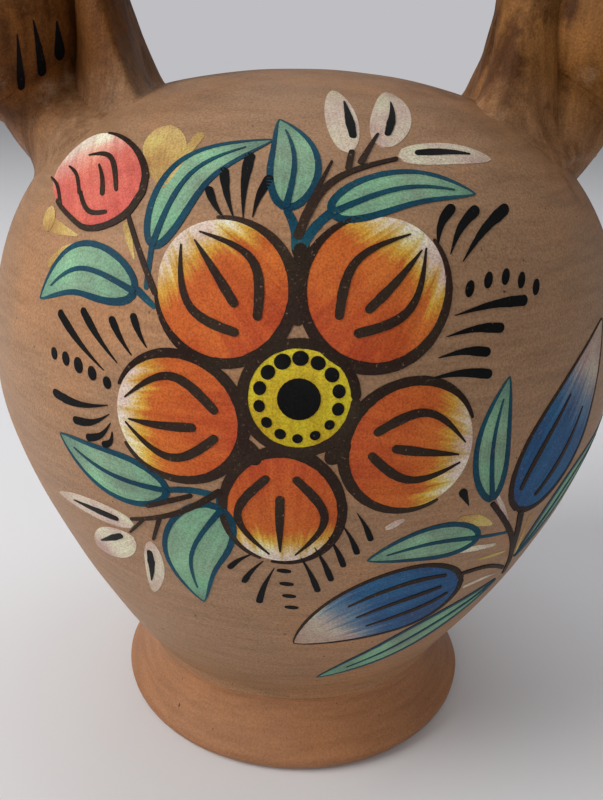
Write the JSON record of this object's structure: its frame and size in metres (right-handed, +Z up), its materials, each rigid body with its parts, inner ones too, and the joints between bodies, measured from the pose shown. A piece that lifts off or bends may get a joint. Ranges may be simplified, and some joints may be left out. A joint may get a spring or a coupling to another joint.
{
  "type": "two-spouted pottery jar",
  "caption": "Hand-built round clay jar with a flared foot, closed dome, overhead strap handle and two gourd-shaped spouts, painted with a folk flower.",
  "frame": {"origin": "centre of the foot's circle on the surface that the jar stands on", "axes": "+Z up along the jar's axis; +X from the jar's axis to the right spout; the main painted flower faces -Y"},
  "size_m": [0.2946, 0.21, 0.321],
  "materials": {
    "body_clay": "burnished",
    "shoulder_clay": "burnished, smoke-darkened",
    "foot_clay": "burnished",
    "flower_paint": "matte brushed paint",
    "leaf_paint": "matte brushed paint",
    "bud_paint": "matte brushed paint",
    "pale_paint": "matte brushed paint",
    "line_paint": "matte brushed paint"
  },
  "bodies": {
    "root": {"foot_ring": "foot_clay", "lower_bowl": "body_clay", "upper_dome": "body_clay", "arch_handle": "shoulder_clay", "left_handle_root": "shoulder_clay", "left_spout_root": "shoulder_clay", "left_spout_neck": "shoulder_clay", "left_spout_bulb": "shoulder_clay", "left_spout_mouth": "shoulder_clay", "right_handle_root": "shoulder_clay", "right_spout_root": "shoulder_clay", "right_spout_neck": "shoulder_clay", "right_spout_bulb": "shoulder_clay", "right_spout_mouth": "shoulder_clay"}
  },
  "joints": []
}
